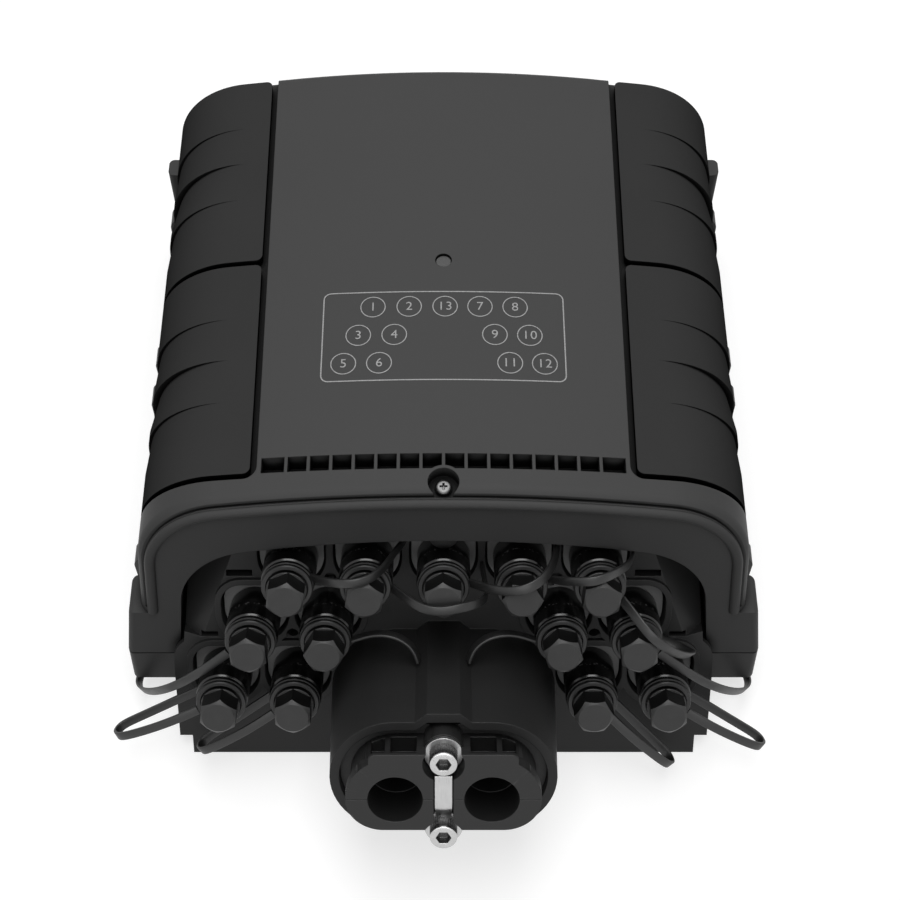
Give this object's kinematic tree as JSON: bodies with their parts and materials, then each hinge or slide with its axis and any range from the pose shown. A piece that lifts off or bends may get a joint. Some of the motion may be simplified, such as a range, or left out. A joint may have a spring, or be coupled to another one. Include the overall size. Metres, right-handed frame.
{
  "type": "fibre distribution hub box",
  "caption": "Outdoor fibre hub box with a hooded front of capped drop ports, an oval twin cable gland, and a vented cover under hinged side latches.",
  "frame": {"origin": "middle of the bracket insert pattern on the flat back face", "axes": "+Z out of the back face towards the cover, +Y away from the port end, +X to the right seen from the port end"},
  "size_m": [0.2552, 0.318, 0.1235],
  "materials": {
    "cover_plastic": "fine grain",
    "latch_plastic": "fine grain",
    "housing_plastic": "fine grain",
    "adapter_plastic": "smooth",
    "cap_plastic": "satin",
    "strap_rubber": "satin",
    "seal_rubber": "matte",
    "steel": "satin",
    "brass": "turned",
    "tray_plastic": "smooth",
    "print_ink": "pad print"
  },
  "bodies": {
    "box": {"rear_housing": "housing_plastic", "front_cover": "cover_plastic", "cover_gasket": "seal_rubber", "cover_screw": "steel", "lock_screw": "steel", "latch_pins": "steel", "wall_inserts": "brass", "splice_tray": "tray_plastic", "splitter_module": "tray_plastic", "cable_seal": "seal_rubber", "gland_plate_upper": "housing_plastic", "gland_plate_lower": "housing_plastic", "tie_bar": "steel", "gland_screws": "steel", "port_adapters": "adapter_plastic", "adapter_nuts": "tray_plastic", "cap_strap_01": "strap_rubber", "cap_strap_02": "strap_rubber", "cap_strap_03": "strap_rubber", "cap_strap_04": "strap_rubber", "cap_strap_05": "strap_rubber", "cap_strap_06": "strap_rubber", "cap_strap_07": "strap_rubber", "cap_strap_08": "strap_rubber", "cap_strap_09": "strap_rubber", "cap_strap_10": "strap_rubber", "cap_strap_11": "strap_rubber", "cap_strap_12": "strap_rubber", "cap_strap_13": "strap_rubber"},
    "latch_right_near": {"latch_right_near": "latch_plastic"},
    "latch_right_far": {"latch_right_far": "latch_plastic"},
    "latch_left_near": {"latch_left_near": "latch_plastic"},
    "latch_left_far": {"latch_left_far": "latch_plastic"},
    "cap_01": {"dust_cap_01": "cap_plastic"},
    "cap_02": {"dust_cap_02": "cap_plastic"},
    "cap_03": {"dust_cap_03": "cap_plastic"},
    "cap_04": {"dust_cap_04": "cap_plastic"},
    "cap_05": {"dust_cap_05": "cap_plastic"},
    "cap_06": {"dust_cap_06": "cap_plastic"},
    "cap_07": {"dust_cap_07": "cap_plastic"},
    "cap_08": {"dust_cap_08": "cap_plastic"},
    "cap_09": {"dust_cap_09": "cap_plastic"},
    "cap_10": {"dust_cap_10": "cap_plastic"},
    "cap_11": {"dust_cap_11": "cap_plastic"},
    "cap_12": {"dust_cap_12": "cap_plastic"},
    "cap_13": {"dust_cap_13": "cap_plastic"}
  },
  "joints": [
    {"name": "latch_right_near_hinge", "type": "hinge", "parent": "box", "child": "latch_right_near", "pos_m": [0.1185, 0, 0.038], "axis": [0, 1, 0], "range_deg": [0, 95]},
    {"name": "latch_right_far_hinge", "type": "hinge", "parent": "box", "child": "latch_right_far", "pos_m": [0.1185, 0, 0.038], "axis": [0, 1, 0], "range_deg": [0, 95]},
    {"name": "latch_left_near_hinge", "type": "hinge", "parent": "box", "child": "latch_left_near", "pos_m": [-0.1185, 0, 0.038], "axis": [0, -1, 0], "range_deg": [0, 95]},
    {"name": "latch_left_far_hinge", "type": "hinge", "parent": "box", "child": "latch_left_far", "pos_m": [-0.1185, 0, 0.038], "axis": [0, -1, 0], "range_deg": [0, 95]},
    {"name": "cap_01_turn", "type": "hinge", "parent": "box", "child": "cap_01", "pos_m": [-0.0576, -0.09511, 0.08718], "axis": [0, -0.848, 0.5299], "range_deg": [0, 90]},
    {"name": "cap_02_turn", "type": "hinge", "parent": "box", "child": "cap_02", "pos_m": [-0.0288, -0.09511, 0.08718], "axis": [0, -0.848, 0.5299], "range_deg": [0, 90]},
    {"name": "cap_03_turn", "type": "hinge", "parent": "box", "child": "cap_03", "pos_m": [-0.0723, -0.10767, 0.06708], "axis": [0, -0.848, 0.5299], "range_deg": [0, 90]},
    {"name": "cap_04_turn", "type": "hinge", "parent": "box", "child": "cap_04", "pos_m": [-0.0443, -0.10767, 0.06708], "axis": [0, -0.848, 0.5299], "range_deg": [0, 90]},
    {"name": "cap_05_turn", "type": "hinge", "parent": "box", "child": "cap_05", "pos_m": [-0.0848, -0.12213, 0.04393], "axis": [0, -0.848, 0.5299], "range_deg": [0, 90]},
    {"name": "cap_06_turn", "type": "hinge", "parent": "box", "child": "cap_06", "pos_m": [-0.0568, -0.12213, 0.04393], "axis": [0, -0.848, 0.5299], "range_deg": [0, 90]},
    {"name": "cap_07_turn", "type": "hinge", "parent": "box", "child": "cap_07", "pos_m": [0.0288, -0.09511, 0.08718], "axis": [0, -0.848, 0.5299], "range_deg": [0, 90]},
    {"name": "cap_08_turn", "type": "hinge", "parent": "box", "child": "cap_08", "pos_m": [0.0576, -0.09511, 0.08718], "axis": [0, -0.848, 0.5299], "range_deg": [0, 90]},
    {"name": "cap_09_turn", "type": "hinge", "parent": "box", "child": "cap_09", "pos_m": [0.0443, -0.10767, 0.06708], "axis": [0, -0.848, 0.5299], "range_deg": [0, 90]},
    {"name": "cap_10_turn", "type": "hinge", "parent": "box", "child": "cap_10", "pos_m": [0.0723, -0.10767, 0.06708], "axis": [0, -0.848, 0.5299], "range_deg": [0, 90]},
    {"name": "cap_11_turn", "type": "hinge", "parent": "box", "child": "cap_11", "pos_m": [0.0568, -0.12213, 0.04393], "axis": [0, -0.848, 0.5299], "range_deg": [0, 90]},
    {"name": "cap_12_turn", "type": "hinge", "parent": "box", "child": "cap_12", "pos_m": [0.0848, -0.12213, 0.04393], "axis": [0, -0.848, 0.5299], "range_deg": [0, 90]},
    {"name": "cap_13_turn", "type": "hinge", "parent": "box", "child": "cap_13", "pos_m": [0, -0.09511, 0.08718], "axis": [0, -0.848, 0.5299], "range_deg": [0, 90]}
  ]
}
